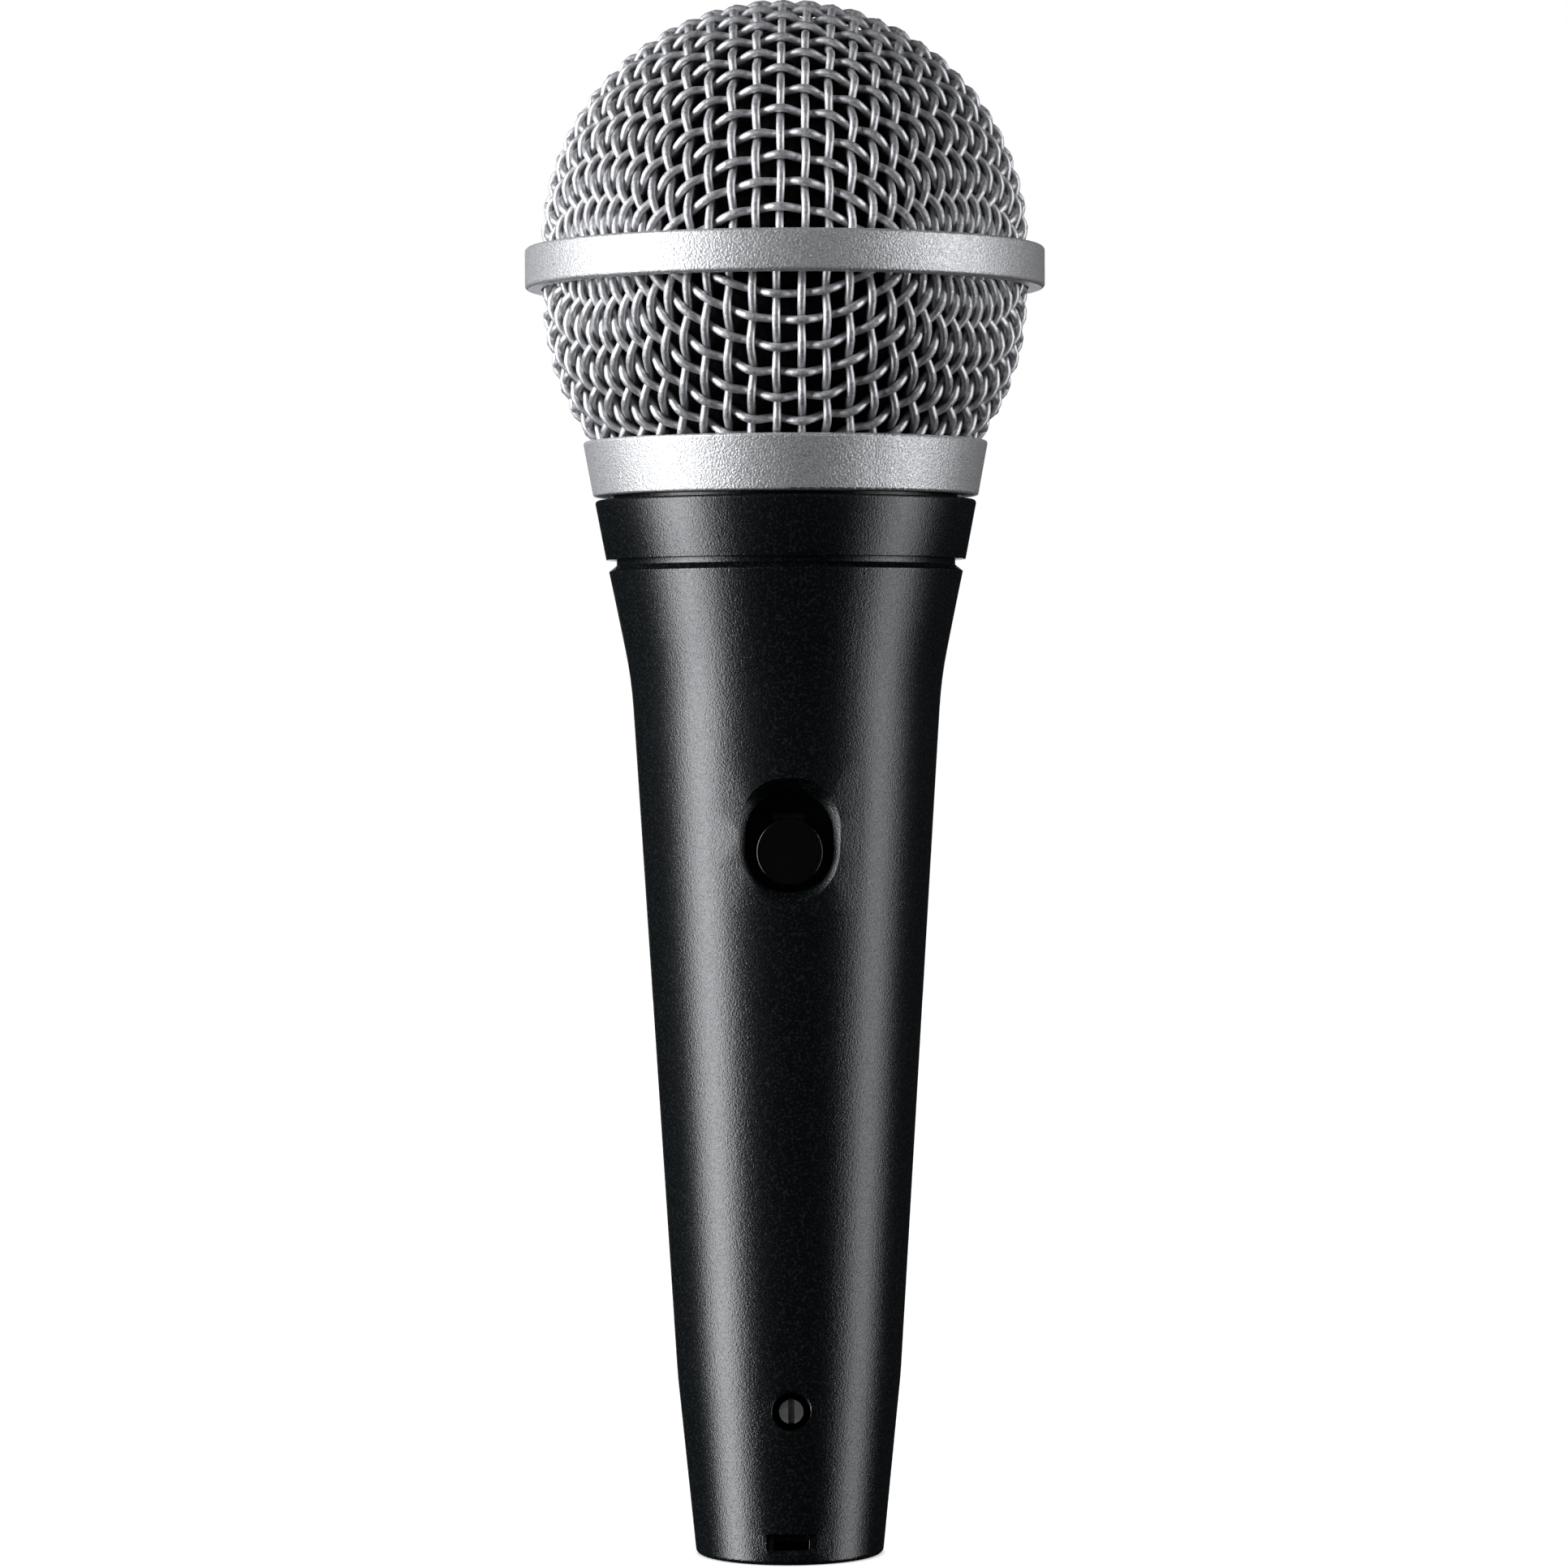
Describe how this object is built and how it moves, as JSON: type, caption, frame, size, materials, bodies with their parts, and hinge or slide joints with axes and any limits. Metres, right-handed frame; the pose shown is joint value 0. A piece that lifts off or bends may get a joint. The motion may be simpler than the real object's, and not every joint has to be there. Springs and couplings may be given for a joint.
{
  "type": "handheld dynamic microphone",
  "caption": "Handheld vocal microphone with a woven ball grille that unscrews, a tapered handle with a slide switch, and a three-pin output socket in the tail.",
  "frame": {"origin": "centre of the tail's end face", "axes": "+Z along the handle's axis from the tail to the grille; the switch faces -Y; +X to the right seen from the switch side"},
  "size_m": [0.054, 0.054, 0.1615],
  "materials": {
    "grille_wire": "satin silver enamel on steel wire",
    "silver_enamel": "fine sand-textured satin silver enamel",
    "black_enamel": "fine-grained satin black enamel",
    "foam": "open-cell black foam",
    "black_plastic": "matte moulded plastic",
    "rubber": "moulded elastomer",
    "bare_steel": "machined steel",
    "magnet_plate": "nickel-plated magnet",
    "copper_coil": "enamelled copper winding",
    "film": "thin polyester film",
    "cloth": "acoustic cloth",
    "felt": "grey acoustic felt",
    "pin_plate": "silver-plated brass",
    "insert_plastic": "glass-filled moulded insulator",
    "screw_zinc": "dull zinc-plated steel",
    "board": "solder-masked circuit board",
    "switch_can": "pressed steel switch can",
    "spring_brass": "phosphor bronze strip",
    "wire_black": "PVC insulation, black",
    "wire_yellow": "PVC insulation, yellow",
    "wire_green": "PVC insulation, green"
  },
  "bodies": {
    "handle": {"handle_shell": "black_enamel", "name_collar": "black_enamel", "shock_mount": "rubber", "cartridge_housing": "black_plastic", "resonator_cap": "black_plastic", "cap_screen": "cloth", "rear_chamber": "black_plastic", "rear_port_felt": "felt", "magnet_yoke": "bare_steel", "magnet": "magnet_plate", "pole_piece": "bare_steel", "diaphragm_surround": "film", "solder_lugs": "pin_plate", "switch_carrier": "black_plastic", "switch_body": "switch_can", "switch_board": "board", "switch_terminals": "pin_plate", "board_screws": "screw_zinc", "xlr_insert": "insert_plastic", "xlr_pin_1": "pin_plate", "xlr_pin_2": "pin_plate", "xlr_pin_3": "pin_plate", "ground_clip": "spring_brass", "insert_set_screw": "screw_zinc", "output_lead_ground": "wire_black", "output_lead_hot": "wire_yellow", "output_lead_cold": "wire_green", "cartridge_lead_hot": "wire_yellow", "cartridge_lead_cold": "wire_green"},
    "switch": {"switch_knob": "black_plastic", "switch_slider": "black_plastic"},
    "moving_coil": {"diaphragm": "film", "voice_coil": "copper_coil"},
    "windscreen": {"foam_windscreen": "foam"},
    "grille": {"grille_collar": "silver_enamel", "lower_mesh_basket": "grille_wire", "upper_mesh_dome": "grille_wire", "equator_ring": "silver_enamel"}
  },
  "joints": [
    {"name": "switch_slide", "type": "slide", "parent": "handle", "child": "switch", "axis": [0, 0, 1], "range_m": [0, 0.002]},
    {"name": "coil_travel", "type": "slide", "parent": "handle", "child": "moving_coil", "axis": [0, 0, 1], "range_m": [-0.0002, 0.0002], "stiffness_N_per_m": 600, "deforming": ["diaphragm_surround"]},
    {"name": "grille_lift", "type": "slide", "parent": "handle", "child": "windscreen", "axis": [0, 0, 1], "range_m": [0, 0.0035]},
    {"name": "grille_turn", "type": "hinge", "parent": "windscreen", "child": "grille", "pos_m": [0, 0, 0.1125], "axis": [0, 0, 1], "range_deg": [0, 1260]}
  ],
  "couplings": [
    {"joint": "grille_lift", "follows": "grille_turn", "m_per_rad": 0.00015915}
  ]
}
